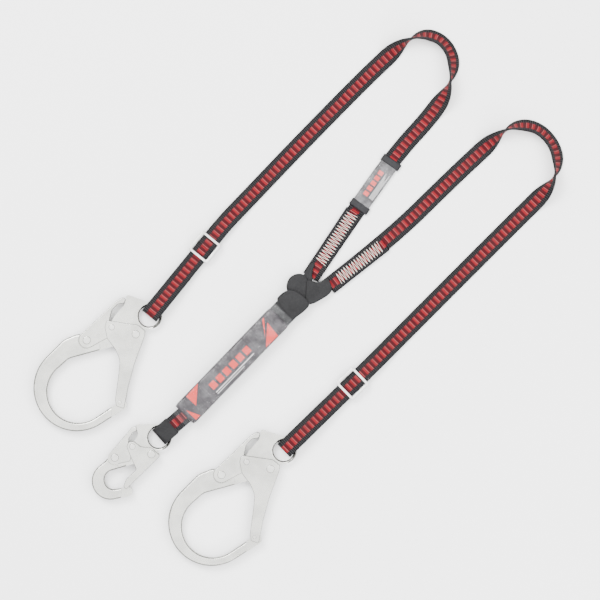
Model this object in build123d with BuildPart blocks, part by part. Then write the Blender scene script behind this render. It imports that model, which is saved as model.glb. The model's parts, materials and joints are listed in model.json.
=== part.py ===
"""Twin-leg shock absorbing lanyard: absorber, adjustable webbing legs, large gated hooks and a snap hook.

The lanyard is laid out flat. Millimetres, +Z up, it rests on Z = 0.
"""
import os
from math import atan2, cos, degrees, radians, sin, tan

from build123d import *

# ---------------------------------------------------------------- driving dimensions
YOKE = (123.856, 96.091)          # where the two legs come together, in the lanyard's frame

WEB_WIDTH = 25.4            # webbing of the legs and loops
WEB_THICK = 2.2
TAIL_THICK = 2.0            # thinner webbing sewn round the adjuster's middle bar
SLEEVE_THICK = 0.8

ABSORBER_ANGLE = 46.0       # direction of the absorber, from the snap hook to the yoke
COVER_START = (-172.8, -176.6)  # middle of the cover's hook end, from the yoke
COVER_LENGTH = 200.0
COVER_WIDTH = 40.0
COVER_HEIGHT = 24.0
COVER_WALL = 0.9
COLLAR_LENGTH = 6.0
COLLAR_HEIGHT = 19.0
PACK_WIDTH = 35.0           # folded tear webbing
PACK_LENGTH = 184.0
PACK_LAYERS = 7
PACK_PITCH = 2.7
LABEL_THICK = 0.4
END_LOOP_WIDTH = 35.4

HOOK_Z = 9.0                # mid plane of every hook above the surface
BOW_HALF = 7.0              # half thickness of a hook's bow
PLATE_HALF = 3.6            # half thickness of its eye and pivot plate
LEVER_HALF = 5.4            # outer half width of the folded lock lever
GATE_HALF = 7.3             # outer half width of the folded gate
SHEET = 1.5                 # sheet the gate and the lever are folded from
FOLD_RADIUS = 1.0           # outside radius of that fold
HEAD_HEIGHT = 1.6           # rivet heads outside the sheets
EYE_RADIUS = 14.6
EYE_RIM = 18.5
RIM_BEVEL_FROM = -72.0      # the eye rim is bevelled where the webbing loop swings round it
RIM_BEVEL_ARC = 140.0
SHANK = 3.0                 # radius of the pivot rivets
SMALL_SHANK = 2.0
RUNNING_FIT = 0.05
AIR = 0.1                   # between rivet heads and the sheets that turn under them

LEFT_EYE = (-220.8, -34.4)  # centres of the hook eyes, from the yoke
RIGHT_EYE = (-30.2, -224.9)
SNAP_EYE = (-207.3, -206.2)
LEFT_STRAP_ANGLE = 51.0     # direction of each strap from its hook eye to its adjuster
RIGHT_STRAP_ANGLE = 44.2
SNAP_STRAP_ANGLE = 41.0
LEFT_ADJUSTER_AT = 125.5    # adjuster centre from the hook eye, along the strap
RIGHT_ADJUSTER_AT = 136.0
STRAIGHT_PAST_ADJUSTER = 43.0
RAMP_LENGTH = 46.0          # over which the strap comes down to the surface

STRAP_MID_AT_ADJUSTER = 8.1
FRAME_LENGTH = 34.0
FRAME_WIDTH = 34.4
FRAME_BAR = 3.9
FRAME_BOTTOM = 9.45
FRAME_TOP = 12.0
MIDDLE_BAR_Z = 3.4
MIDDLE_BAR_RADIUS = 1.25

# Plan routes of the two legs, from the yoke sleeve to the last bend before the adjuster.
LEFT_ROUTE = [(15.6, 32.4), (74.0, 118.0), (131.0, 198.0), (180.0, 251.0), (206.0, 291.0),
              (213.0, 330.0), (194.0, 360.0), (160.0, 367.0), (118.0, 336.5), (0.0, 217.0)]
RIGHT_ROUTE = [(34.0, 7.5), (123.0, 77.0), (205.0, 158.0), (264.0, 213.0), (292.0, 237.0),
               (330.0, 235.0), (357.0, 205.0), (359.0, 168.0), (338.0, 139.0), (298.0, 100.0)]

os.makedirs("parts", exist_ok=True)


# ---------------------------------------------------------------- helpers
def save(built, label):
    """Name a finished piece and write it to its own file."""
    built.part.label = label
    export_step(built.part, f"parts/{label}.step")


def heading(angle, distance=1.0):
    """Plan vector of a length and a direction in degrees."""
    return Vector(distance * cos(radians(angle)), distance * sin(radians(angle)))


def plan_plane(point, angle=0.0, height=0.0):
    """Horizontal plane at a plan point given from the yoke, X along a direction."""
    origin = Vector(YOKE[0] + point[0], YOKE[1] + point[1], height)
    return Plane(origin=origin, x_dir=heading(angle), z_dir=(0, 0, 1))


def side_plane(point, angle):
    """Upright plane along a direction: X along it, Y up, so a sketch in it is a side view."""
    origin = Vector(YOKE[0] + point[0], YOKE[1] + point[1], 0)
    return Plane(origin=origin, x_dir=heading(angle), z_dir=heading(angle - 90))


def ahead(point, angle, distance):
    """The plan point a distance ahead of another, both from the yoke."""
    step = heading(angle, distance)
    return (point[0] + step.X, point[1] + step.Y)


def angle_between(start, end):
    """Direction in degrees from one plan point to another."""
    return degrees(atan2(end[1] - start[1], end[0] - start[0]))


def corner_radii(points):
    """The largest arcs that neighbouring runs of a route leave room for."""
    radii = []
    for before, here, after in zip(points, points[1:], points[2:]):
        run_in = Vector(*here) - Vector(*before)
        run_out = Vector(*after) - Vector(*here)
        turn = radians(run_in.get_angle(run_out))
        radii.append(0.45 * min(run_in.length, run_out.length) / tan(turn / 2))
    return radii


def webbing_layer(plane, points, radii, width=WEB_WIDTH, thickness=WEB_THICK):
    """A flat webbing layer whose side view follows a path with rounded corners."""
    with BuildPart() as layer:
        with BuildSketch(plane):
            with BuildLine():
                FilletPolyline(*points, radius=radii)
                offset(amount=thickness / 2, side=Side.BOTH)
            make_face()
        extrude(amount=width / 2, both=True)
    return layer


# ---------------------------------------------------------------- absorber
def make_cover():
    """Clear heat-shrunk cover: a rounded tube with a lower collar at each end."""
    length_plane = plan_plane(COVER_START, ABSORBER_ANGLE)
    start = length_plane.origin
    ends = Plane(origin=start + Vector(0, 0, COVER_HEIGHT / 2), x_dir=-length_plane.y_dir,
                 z_dir=length_plane.x_dir)
    with BuildPart() as cover:
        with BuildSketch(ends):
            RectangleRounded(COVER_WIDTH, COVER_HEIGHT, 5)
        extrude(amount=COVER_LENGTH)
        with BuildSketch(ends.offset(-COLLAR_LENGTH)):
            RectangleRounded(COVER_WIDTH - 2, COLLAR_HEIGHT, 4)
        extrude(amount=COVER_LENGTH + 2 * COLLAR_LENGTH)
        with BuildSketch(ends.offset(-COLLAR_LENGTH)):
            RectangleRounded(COVER_WIDTH - 2 - 2 * COVER_WALL, COLLAR_HEIGHT - 2 * COVER_WALL, 3)
        extrude(amount=COVER_LENGTH + 2 * COLLAR_LENGTH, mode=Mode.SUBTRACT)
        with BuildSketch(ends.offset(COVER_WALL)):
            RectangleRounded(COVER_WIDTH - 2 * COVER_WALL, COVER_HEIGHT - 2 * COVER_WALL, 4)
        extrude(amount=COVER_LENGTH - 2 * COVER_WALL, mode=Mode.SUBTRACT)
    save(cover, "absorber_cover")

    with BuildPart() as label:
        with BuildSketch(ends.offset(6)):
            RectangleRounded(COVER_WIDTH - 2 * COVER_WALL - 0.4, COVER_HEIGHT - 2 * COVER_WALL - 0.4, 3.8)
            RectangleRounded(COVER_WIDTH - 2 * COVER_WALL - 0.4 - 2 * LABEL_THICK,
                             COVER_HEIGHT - 2 * COVER_WALL - 0.4 - 2 * LABEL_THICK, 3.4, mode=Mode.SUBTRACT)
        extrude(amount=COVER_LENGTH - 12)
    save(label, "absorber_label")


def make_tear_pack():
    """Tear webbing folded to and fro, with the two rows of tacks that hold the folds."""
    side = side_plane(COVER_START, ABSORBER_ANGLE)
    near = (COVER_LENGTH - PACK_LENGTH) / 2
    far = near + PACK_LENGTH
    bottom = COVER_HEIGHT / 2 - (PACK_LAYERS - 1) / 2 * PACK_PITCH
    points = []
    for layer in range(PACK_LAYERS):
        height = bottom + layer * PACK_PITCH
        points += [(near, height), (far, height)] if layer % 2 == 0 else [(far, height), (near, height)]
    radii = [PACK_PITCH / 2 - 0.01] * (len(points) - 2)
    save(webbing_layer(side, points, radii, PACK_WIDTH, 1.9), "tear_webbing_pack")

    top = bottom + (PACK_LAYERS - 1) * PACK_PITCH + 1.0
    with BuildPart() as tacks:
        for row in (near + 12, far - 12):
            centre = ahead(COVER_START, ABSORBER_ANGLE, row)
            with BuildSketch(plan_plane(centre, ABSORBER_ANGLE, top)):
                with GridLocations(3.0, 6.0, 3, 5):
                    SlotOverall(5.0, 0.9, rotation=90)
            extrude(amount=0.5)
    save(tacks, "tear_pack_tacks")


def make_end_loops():
    """Webbing loops at the two ends of the absorber, and the wear sleeve on the hook end."""
    side = side_plane(SNAP_EYE, SNAP_STRAP_ANGLE)
    reach = (Vector(*COVER_START) - Vector(*SNAP_EYE)).length
    bend = HOOK_Z - SLEEVE_THICK - WEB_THICK / 2 - 0.1
    low, high = HOOK_Z - bend, HOOK_Z + bend
    front = WEB_THICK / 2 + SLEEVE_THICK
    loop_points = [(reach + 3, low + 3.9), (34, low + 3.9), (22, low), (front, low), (front, high),
                   (26, high), (reach + 3, high - 2.6)]
    loop_radii = [16, 16, bend - 0.01, bend - 0.01, 40]
    save(webbing_layer(side, loop_points, loop_radii), "hook_end_loop")

    skin = SLEEVE_THICK / 2
    outer = bend + WEB_THICK / 2 + skin + 0.02
    sleeve_points = [(20, HOOK_Z - outer), (front - outer + bend, HOOK_Z - outer),
                     (front - outer + bend, HOOK_Z + outer), (24, HOOK_Z + outer)]
    save(webbing_layer(side, sleeve_points, [outer - 0.01] * 2, WEB_WIDTH, SLEEVE_THICK - 0.05),
         "hook_end_wear_sleeve")

    side = side_plane(ahead(COVER_START, ABSORBER_ANGLE, COVER_LENGTH), ABSORBER_ANGLE)
    points = [(1, 6.8), (7, 6.8), (15, 2.4), (36, 2.4), (36, 13.2), (14, 14.4), (1, 15.5)]
    save(webbing_layer(side, points, [6, 6, 5.3, 5.3, 30], END_LOOP_WIDTH), "leg_end_loop")


# ---------------------------------------------------------------- yoke
def make_yoke_sleeves():
    """Dark sleeves on the leg ends: each passes through the absorber's loop and comes out at one side."""
    left_outline = [(-30, -14), (-30, 23), (-4, 26), (8, 24), (31, 23), (37, -2), (10, -13), (-9.4, -10),
                    (-9.4, 20.1), (-16.9, 20.1), (-16.9, -14)]
    right_outline = [(-30, 14), (-30, -23), (-4, -25), (12, -26), (31, -34), (40, -11), (14, 4), (-9.4, 10),
                     (-9.4, -18.5), (-16.9, -18.5), (-16.9, 14)]
    with BuildPart() as left_sleeve:
        with BuildSketch(plan_plane((0, 0), ABSORBER_ANGLE, 7.6)):
            with BuildLine():
                FilletPolyline(*left_outline, radius=2.0, close=True)
            make_face()
        extrude(amount=4.2)
    save(left_sleeve, "left_leg_yoke_sleeve")
    with BuildPart() as right_sleeve:
        with BuildSketch(plan_plane((0, 0), ABSORBER_ANGLE, 3.6)):
            with BuildLine():
                FilletPolyline(*right_outline, radius=2.0, close=True)
            make_face()
        extrude(amount=3.8)
    save(right_sleeve, "right_leg_yoke_sleeve")


# ---------------------------------------------------------------- legs
def make_leg(side_name, route, eye, strap_angle, adjuster_at):
    """One leg: flat run from the yoke, ramp, adjuster stretch, fold round the hook eye and return layer."""
    bend_at = ahead(eye, strap_angle, adjuster_at + STRAIGHT_PAST_ADJUSTER)
    ramp_angle = angle_between(bend_at, route[-1])
    ramp_foot = ahead(bend_at, ramp_angle, RAMP_LENGTH)
    points = route + [ramp_foot] if (Vector(*route[-1]) - Vector(*ramp_foot)).length > 60 else route
    radii = corner_radii(points[:-1] + [points[-1]])
    print(side_name, "leg radii:", [round(radius) for radius in radii])
    low, high = WEB_THICK / 2 + 0.1, 2 * HOOK_Z - WEB_THICK / 2 - 0.1
    fold = (high - low) / 2 - 0.01
    underside = STRAP_MID_AT_ADJUSTER - WEB_THICK / 2
    adjuster_stretch = [(adjuster_at + STRAIGHT_PAST_ADJUSTER, STRAP_MID_AT_ADJUSTER),
                        (adjuster_at - 28, STRAP_MID_AT_ADJUSTER), (28, high), (WEB_THICK / 2, high),
                        (WEB_THICK / 2, low), (adjuster_at - 47, low)]
    with BuildPart() as leg:
        with BuildLine(plan_plane((0, 0), 0, WEB_THICK / 2)) as path:
            FilletPolyline(*points, radius=radii)
        with BuildSketch(Plane(origin=path.line @ 0, x_dir=(0, 0, 1), z_dir=path.line % 0)):
            Rectangle(WEB_THICK, WEB_WIDTH)
        sweep()
        with BuildSketch(side_plane(bend_at, ramp_angle)):
            with BuildLine():
                Polyline((-0.5, underside), (4, underside), (RAMP_LENGTH, 0), (RAMP_LENGTH + 3, 0),
                         (RAMP_LENGTH + 3, WEB_THICK), (RAMP_LENGTH, WEB_THICK), (4, underside + WEB_THICK),
                         (-0.5, underside + WEB_THICK), close=True)
            make_face()
        extrude(amount=WEB_WIDTH / 2, both=True)
        with BuildSketch(side_plane(eye, strap_angle)):
            with BuildLine():
                FilletPolyline(*adjuster_stretch, radius=[60, 60, fold, fold])
                offset(amount=WEB_THICK / 2, side=Side.BOTH)
            make_face()
        extrude(amount=WEB_WIDTH / 2, both=True)
    flat_length = path.wires()[0].length
    print(side_name, "flat run", round(flat_length), "section x length", round(
        WEB_THICK * WEB_WIDTH * flat_length), "whole leg", round(leg.part.volume))
    save(leg, f"{side_name}_leg_webbing")


def make_sewn_end(side_name, start, angle, length, stitched):
    """Turned-back end of a leg's webbing, lying on the leg, with its pack of cross stitches."""
    with BuildPart() as turned_end:
        with BuildSketch(plan_plane(start, angle, WEB_THICK + 0.15)):
            with BuildLine():
                Polyline((0, -WEB_WIDTH / 2), (length, -WEB_WIDTH / 2), (length, WEB_WIDTH / 2),
                         (0, WEB_WIDTH / 2), close=True)
            make_face()
        extrude(amount=WEB_THICK)
    save(turned_end, f"{side_name}_leg_sewn_end")

    middle = ahead(start, angle, stitched[0] + stitched[1] / 2)
    rows = int(stitched[1] / 3.4)
    with BuildPart() as stitches:
        with BuildSketch(plan_plane(middle, angle, 2 * WEB_THICK + 0.16)):
            with GridLocations(3.4, 10, rows, 1):
                SlotOverall(17.5, 1.0, rotation=82)
        extrude(amount=0.6)
    save(stitches, f"{side_name}_leg_stitch_pack")


# ---------------------------------------------------------------- label pouch on the left leg
POUCH_START = (74.5, 117.0)
POUCH_ANGLE = 54.4
POUCH_LENGTH = 87.0
POUCH_WIDTH = 29.0


def make_label_pouch():
    """Clear pouch with dark hems that holds a card on the left leg."""
    floor_z = WEB_THICK + 0.15
    pouch_plane = plan_plane(ahead(POUCH_START, POUCH_ANGLE, POUCH_LENGTH / 2), POUCH_ANGLE, floor_z)
    with BuildPart() as pouch:
        with BuildSketch(pouch_plane):
            RectangleRounded(POUCH_LENGTH - 20, POUCH_WIDTH, 1.5)
        extrude(amount=3.0)
        with BuildSketch(pouch_plane.offset(0.5)):
            Rectangle(POUCH_LENGTH - 20.0, POUCH_WIDTH - 3)
        extrude(amount=2.0, mode=Mode.SUBTRACT)
    save(pouch, "label_pouch")
    with BuildPart() as card:
        with BuildSketch(pouch_plane.offset(0.8)):
            RectangleRounded(POUCH_LENGTH - 24, POUCH_WIDTH - 5, 1.0)
        extrude(amount=0.6)
    save(card, "label_card")
    for name, place, size in (("label_top_hem", POUCH_LENGTH / 2 - 4.9, 9.4),
                              ("label_bottom_hem", -POUCH_LENGTH / 2 + 4.9, 9.4)):
        centre = ahead(POUCH_START, POUCH_ANGLE, POUCH_LENGTH / 2 + place)
        with BuildPart() as hem:
            with BuildSketch(plan_plane(centre, POUCH_ANGLE, floor_z)):
                RectangleRounded(size, POUCH_WIDTH + 0.6, 1.2)
            extrude(amount=3.4)
        save(hem, name)


# ---------------------------------------------------------------- length adjusters
def make_adjuster(side_name, eye, angle, adjuster_at):
    """Three-bar steel frame; the strap passes under the outer bars and over the low middle bar."""
    centre = ahead(eye, angle, adjuster_at)
    plane = plan_plane(centre, angle, FRAME_BOTTOM)
    post = (FRAME_WIDTH - FRAME_BAR) / 2
    with BuildPart() as frame:
        with BuildSketch(plane):
            RectangleRounded(FRAME_LENGTH, FRAME_WIDTH, 4.2)
            RectangleRounded(FRAME_LENGTH - 2 * FRAME_BAR, FRAME_WIDTH - 2 * FRAME_BAR, 1.5,
                             mode=Mode.SUBTRACT)
        extrude(amount=FRAME_TOP - FRAME_BOTTOM)
        top_edges = frame.edges().group_by(Axis.Z)[-1]
        bottom_edges = frame.edges().group_by(Axis.Z)[0]
        fillet(top_edges + bottom_edges, 0.8)
        with BuildSketch(plan_plane(centre, angle, MIDDLE_BAR_Z - MIDDLE_BAR_RADIUS)):
            with Locations((0, post), (0, -post)):
                RectangleRounded(4.4, FRAME_BAR, 1.0)
        extrude(amount=FRAME_BOTTOM + 1.0 - MIDDLE_BAR_Z + MIDDLE_BAR_RADIUS)
        bar_plane = side_plane(centre, angle)
        with BuildSketch(bar_plane):
            with Locations((0, MIDDLE_BAR_Z)):
                Circle(MIDDLE_BAR_RADIUS)
        extrude(amount=post, both=True)
    save(frame, f"{side_name}_adjuster_frame")

    bend = MIDDLE_BAR_RADIUS + 0.1 + TAIL_THICK / 2
    low, high = MIDDLE_BAR_Z - bend, MIDDLE_BAR_Z + bend
    tail_points = [(-82, 3.65), (-34, 3.65), (-14, low), (bend, low), (bend, high), (-42, high)]
    tail_radii = [20, 14, bend - 0.01, bend - 0.01]
    save(webbing_layer(bar_plane, tail_points, tail_radii, WEB_WIDTH - 0.6, TAIL_THICK),
         f"{side_name}_tail_webbing")

    with BuildPart() as stitches:
        with BuildSketch(plan_plane(ahead(centre, angle, -27), angle, high + TAIL_THICK / 2)):
            with GridLocations(3.4, 10, 6, 1):
                SlotOverall(16, 0.9, rotation=84)
        extrude(amount=0.15)
    save(stitches, f"{side_name}_tail_stitches")


# ---------------------------------------------------------------- hooks
# Every outline is in the hook's own plane, from the centre of its eye.
REBAR = {
    "inner_bow": ((-100.1, -107.2), 44.0, 132.0, -56.0),
    "outer_bow": ((-102.0, -101.5), 61.5, 135.0, -57.3),
    "spine": [(-113.7, -60.3), (-22.0, -35.0), (3.0, -14.0), (6.1, 17.4), (-31.2, 30.3), (-34.8, 16.0),
              (-49.0, 0.0), (-54.0, -9.0), (-84.0, -24.5), (-103.0, -26.0), (-121.0, -33.5)],
    "spine_radii": [18.0, 6.0, 1.0, 0.0, 2.0, 4.0, 6.0, 4.0, 12.0, 20.0, 25.0],
    "nose": [(-30.1, -128.4), (-34.0, -115.7)],
    "nose_radii": [5.5, 5.5],
    "groove_clip": [(-175, -40), (-120, -80), (-100, -110), (-62, -140), (-62, -175), (-175, -175)],
    "recess": [(-98, -26), (-84, -45.6), (-70, -39.2), (-70, -70), (30, -70), (30, 50), (-60, 50)],
    "recess_radius": 12.3,
    "nose_recess": [(-53, -106), (-53, -150), (-15, -150), (-15, -106)],
    "lever_pivot": (-88.0, -34.1),
    "gate_pivot": (-18.5, -25.6),
    "lock_rivet": (-52.5, -15.6),
    "nose_pin": (-41.2, -122.1),
    "gate": [(-60.0, -6.0), (-15.0, -12.6), (-5.0, -21.0), (-6.6, -30.0), (-20.0, -66.0), (-29.0, -99.0),
             (-35.4, -131.0), (-45.8, -127.5), (-47.9, -119.0), (-42.6, -80.0), (-41.0, -62.0),
             (-47.6, -47.0), (-59.0, -32.0), (-62.5, -16.0)],
    "gate_radii": [3.0, 6.0, 5.0, 8.0, 90.0, 90.0, 2.0, 3.0, 8.0, 50.0, 25.0, 25.0, 10.0, 8.0],
    "fold": ((-6.6, -30.0), (-35.4, -131.0)),
    "gate_inside": [(-90, 15), (6, 15), (6, -21), (-6.6, -23.5), (-8.2, -30.5), (-21.5, -66.5),
                    (-30.5, -99.3), (-33.4, -112), (-20, -112), (-20, -145), (-90, -145)],
    "lever_round": 11.4,
    "lever": [(-95.9, -25.9), (-46.5, 21.4), (-38.5, 26.4), (-32.8, 25.2), (-35.2, 18.2), (-44.5, 17.0),
              (-53.0, 8.0), (-56.0, -5.0), (-57.0, -30.0), (-83.2, -44.4)],
    "lever_radii": [0.0, 12.0, 3.0, 2.5, 4.0, 8.0, 8.0, 8.0, 4.0, 0.0],
    "lever_inside": [(-96.7, -20.6), (-92.6, -24.9), (-46.4, 19.3), (-52, 28), (-20, 40), (-20, 5),
                     (-50, -60), (-110, -60), (-110, -22)],
    "spring_leg": -110.0,
}
SNAP = {
    "inner_bow": ((-63.0, -59.6), 13.5, 106.5, -81.7),
    "outer_bow": ((-68.0, -61.5), 26.5, 129.6, -77.0),
    "spine": [(-20.0, -32.8), (3.0, -14.0), (0.0, 18.5), (-32.0, 18.5), (-28.6, 4.0), (-34.0, -5.5),
              (-44.0, -9.0), (-63.0, -18.5), (-75.7, -33.5)],
    "spine_radii": [5.0, 1.0, 0.0, 2.0, 5.0, 4.0, 4.0, 8.0, 12.0],
    "nose": [(-37.2, -81.6), (-36.8, -69.4)],
    "nose_radii": [6.0, 5.0],
    "groove_clip": [(-100, -46), (-72, -56), (-63, -68), (-54, -76), (-54, -95), (-100, -95)],
    "recess": [(-71, -21), (-58, -41.0), (-46, -38.5), (-46, -50), (30, -50), (30, 40), (-50, 40)],
    "recess_radius": 10.6,
    "nose_recess": [(-53, -64), (-53, -95), (-25, -95), (-25, -64)],
    "lever_pivot": (-61.8, -28.4),
    "gate_pivot": (-9.9, -23.4),
    "lock_rivet": (-36.9, -12.8),
    "nose_pin": None,
    "gate": [(-42.5, -6.5), (-34.5, -5.5), (-25.0, -13.0), (-9.0, -14.5), (2.5, -26.0), (-45.8, -73.4),
             (-49.5, -69.0), (-45.5, -58.5), (-31.0, -45.5), (-38.5, -29.0), (-45.0, -13.0)],
    "gate_radii": [3.0, 4.0, 6.0, 6.0, 3.0, 1.8, 3.0, 8.0, 4.0, 12.0, 5.0],
    "fold": ((0.4, -28.1), (-45.8, -73.4)),
    "gate_inside": [(-80, 15), (8, 15), (8, -21), (1.6, -24.0), (-0.7, -27.0), (-36.6, -62.2), (-30, -69),
                    (-30, -90), (-80, -90)],
    "lever_round": 9.7,
    "lever": [(-69.1, -22.3), (-37.5, 14.4), (-30.5, 15.6), (-31.5, 9.0), (-36.5, 7.5),
              (-41.8, -1.0), (-42.8, -9.0), (-38.5, -26.0), (-40.0, -33.5), (-59.0, -37.6)],
    "lever_radii": [0.0, 4.0, 2.0, 3.0, 6.0, 4.0, 6.0, 3.0, 3.0, 0.0],
    "lever_inside": [(-70.2, -17.6), (-66.7, -21.8), (-41.6, 7.3), (-46, 16), (-22, 28), (-22, 0), (-30, -60),
                     (-85, -60), (-85, -18)],
    "spring_leg": -140.0,
}


def closed_outline(points, radii=None):
    """Closed outline with rounded corners, drawn inside a BuildLine."""
    if radii is None:
        Polyline(*points, close=True)
    else:
        FilletPolyline(*points, radius=radii, close=True)


def on_circle(centre, radius, angle):
    """Point of a circle at an angle in degrees."""
    return (centre[0] + radius * cos(radians(angle)), centre[1] + radius * sin(radians(angle)))


def draw_body_outline(spec):
    """Outline of a hook body: inner bow, nose, outer bow and the spine round the eye plate."""
    inner_centre, inner_radius, inner_top, inner_low = spec["inner_bow"]
    outer_centre, outer_radius, outer_top, outer_low = spec["outer_bow"]
    inner_start = on_circle(inner_centre, inner_radius, inner_top)
    inner_end = on_circle(inner_centre, inner_radius, inner_low)
    outer_start = on_circle(outer_centre, outer_radius, outer_top)
    outer_end = on_circle(outer_centre, outer_radius, outer_low)
    FilletPolyline(inner_start, *spec["spine"], outer_start, radius=spec["spine_radii"])
    ThreePointArc(outer_start, on_circle(outer_centre, outer_radius, 210), outer_end)
    FilletPolyline(outer_end, *spec["nose"], inner_end, radius=spec["nose_radii"])
    ThreePointArc(inner_end, on_circle(inner_centre, inner_radius, 200), inner_start)


def make_hook_body(name, spec, plane):
    """Forged hook body: thick rounded bow, thin plate for the eye, the gate and the lock lever."""
    inner_centre, inner_radius = spec["inner_bow"][:2]
    outer_centre, outer_radius = spec["outer_bow"][:2]
    with BuildPart() as body:
        with BuildSketch(plane):
            with BuildLine():
                draw_body_outline(spec)
            make_face()
            Circle(EYE_RIM)
            with Locations(spec["gate_pivot"]):
                Circle(9.0)
        extrude(amount=BOW_HALF, both=True)
        fillet(body.edges().group_by(Axis.Z)[-1] + body.edges().group_by(Axis.Z)[0], 2.6)
        for sign in (1, -1):
            with BuildSketch(plane.offset(sign * PLATE_HALF)):
                with BuildLine():
                    closed_outline(spec["recess"])
                make_face()
                with Locations(spec["lever_pivot"]):
                    Circle(spec["recess_radius"])
            extrude(amount=sign * BOW_HALF, mode=Mode.SUBTRACT)
            with BuildSketch(plane.offset(sign * 4.8)):
                with BuildLine():
                    closed_outline(spec["nose_recess"])
                make_face()
            extrude(amount=sign * BOW_HALF, mode=Mode.SUBTRACT)
            with BuildSketch(plane.offset(sign * (BOW_HALF - 0.7))):
                with BuildLine():
                    closed_outline(spec["groove_clip"])
                make_face()
                with Locations(outer_centre):
                    Circle(outer_radius - 5.0, mode=Mode.INTERSECT)
                with Locations(inner_centre):
                    Circle(inner_radius + 4.6, mode=Mode.SUBTRACT)
            extrude(amount=sign * BOW_HALF, mode=Mode.SUBTRACT)
        with BuildSketch(plane.offset(-BOW_HALF)):
            Circle(EYE_RADIUS)
            with Locations(spec["gate_pivot"], spec["lever_pivot"]):
                Circle(SHANK + RUNNING_FIT)
            if spec["nose_pin"]:
                pin_x, pin_y = spec["nose_pin"]
                with Locations((pin_x - 4.9, pin_y + 1.15)):
                    SlotOverall(14.2, 4.4, rotation=-13)
        extrude(amount=2 * BOW_HALF, mode=Mode.SUBTRACT)
        hole_edges = body.edges().filter_by(GeomType.CIRCLE).filter_by(
            lambda edge: abs(edge.radius - EYE_RADIUS) < 0.01)
        fillet(hole_edges, 3.2)
        rim_start = Plane(origin=plane.origin, x_dir=heading(RIM_BEVEL_FROM),
                          z_dir=heading(RIM_BEVEL_FROM - 90))
        with BuildSketch(rim_start):
            for sign in (1, -1):
                with BuildLine():
                    Polyline((EYE_RIM - 2.2, sign * (PLATE_HALF + 0.2)),
                             (EYE_RIM + 0.6, sign * (PLATE_HALF + 0.2)),
                             (EYE_RIM + 0.6, sign * (PLATE_HALF - 2.6)), close=True)
                make_face()
        revolve(axis=Axis(plane.origin, (0, 0, 1)), revolution_arc=RIM_BEVEL_ARC, mode=Mode.SUBTRACT)
        with BuildSketch(plane.offset(-PLATE_HALF)):
            with Locations(spec["gate_pivot"]):
                Circle(8.0)
                Circle(SHANK + RUNNING_FIT, mode=Mode.SUBTRACT)
        extrude(amount=-(GATE_HALF - SHEET - AIR - PLATE_HALF))
        with BuildSketch(plane.offset(PLATE_HALF - 2.6)):
            with Locations(spec["lever_pivot"]):
                Circle(6.4)
        extrude(amount=5, mode=Mode.SUBTRACT)
    save(body, f"{name}_body")


def near_line(point, start, end, reach):
    """Whether a plan point lies within a distance of the line through two others."""
    along = (Vector(*end) - Vector(*start)).normalized()
    away = Vector(point.X, point.Y) - Vector(*start)
    return abs(along.X * away.Y - along.Y * away.X) < reach


def make_folded_sheet(name, outline, radii, inside, half, fold, plane, holes, rounded=None):
    """Channel folded from sheet: two cheeks joined by a wall along the fold, with its rivet holes."""
    with BuildPart() as channel:
        with BuildSketch(plane):
            with BuildLine():
                closed_outline(outline, radii)
            make_face()
            if rounded:
                with Locations(rounded[0]):
                    Circle(rounded[1])
        extrude(amount=half, both=True)
        flat_edges = channel.edges().group_by(Axis.Z)[-1] + channel.edges().group_by(Axis.Z)[0]
        fold_edges = flat_edges.filter_by(
            lambda edge: near_line(plane.to_local_coords(edge.center()), fold[0], fold[1], 1.0))
        fillet(fold_edges, FOLD_RADIUS)
        with BuildSketch(plane.offset(SHEET - half)):
            with BuildLine():
                closed_outline(inside)
            make_face()
        extrude(amount=2 * (half - SHEET), mode=Mode.SUBTRACT)
        with BuildSketch(plane.offset(-half)):
            for place, radius in holes:
                with Locations(place):
                    Circle(radius + RUNNING_FIT)
        extrude(amount=2 * half, mode=Mode.SUBTRACT)
    save(channel, name)


def make_rivet(name, place, shank, head, half, plane, head_height=HEAD_HEIGHT):
    """Rivet through a hook, with a domed head outside each sheet."""
    with BuildPart() as rivet:
        with BuildSketch(plane.offset(-half)):
            with Locations(place):
                Circle(shank)
        extrude(amount=2 * half)
        for sign in (1, -1):
            with BuildSketch(plane.offset(sign * (half + AIR))):
                with Locations(place):
                    Circle(head)
            extrude(amount=sign * head_height)
            with BuildSketch(plane.offset(sign * half)):
                with Locations(place):
                    Circle(shank)
            extrude(amount=sign * AIR)
        rims = rivet.edges().group_by(Axis.Z)[-1] + rivet.edges().group_by(Axis.Z)[0]
        fillet(rims, head_height * 0.7)
    save(rivet, name)


def make_lock_rivets(name, place, plane):
    """Pair of short rivets, one in each ear of the gate."""
    with BuildPart() as rivets:
        for sign in (1, -1):
            with BuildSketch(plane.offset(sign * (GATE_HALF - SHEET))):
                with Locations(place):
                    Circle(SMALL_SHANK)
            extrude(amount=sign * SHEET)
            with BuildSketch(plane.offset(sign * GATE_HALF)):
                with Locations(place):
                    Circle(4.2)
            extrude(amount=sign * 1.3)
        rims = rivets.edges().group_by(Axis.Z)[-1] + rivets.edges().group_by(Axis.Z)[0]
        fillet(rims, 0.9)
    save(rivets, name)


def make_spring(name, place, bottom, height, mean_radius, wire, leg_angle, leg_length, plane):
    """Torsion spring: a short coil round a rivet with one straight leg."""
    centre = plane.from_local_coords(Vector(place[0], place[1], bottom + wire / 2))
    start = centre + Vector(mean_radius, 0, 0)
    rise = height - wire
    leg_root = centre + heading(leg_angle, mean_radius) + Vector(0, 0, rise / 2)
    leg_plane = Plane(origin=leg_root, z_dir=heading(leg_angle))
    with BuildPart() as spring:
        with BuildLine() as coil:
            Helix(pitch=wire * 1.12, height=rise, radius=mean_radius, center=centre)
        with BuildSketch(Plane(origin=coil.line @ 0, z_dir=coil.line % 0)):
            Circle(wire / 2)
        sweep(is_frenet=True)
        if leg_length:
            with BuildSketch(leg_plane):
                Circle(wire / 2)
            extrude(amount=leg_length)
    save(spring, name)


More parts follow.
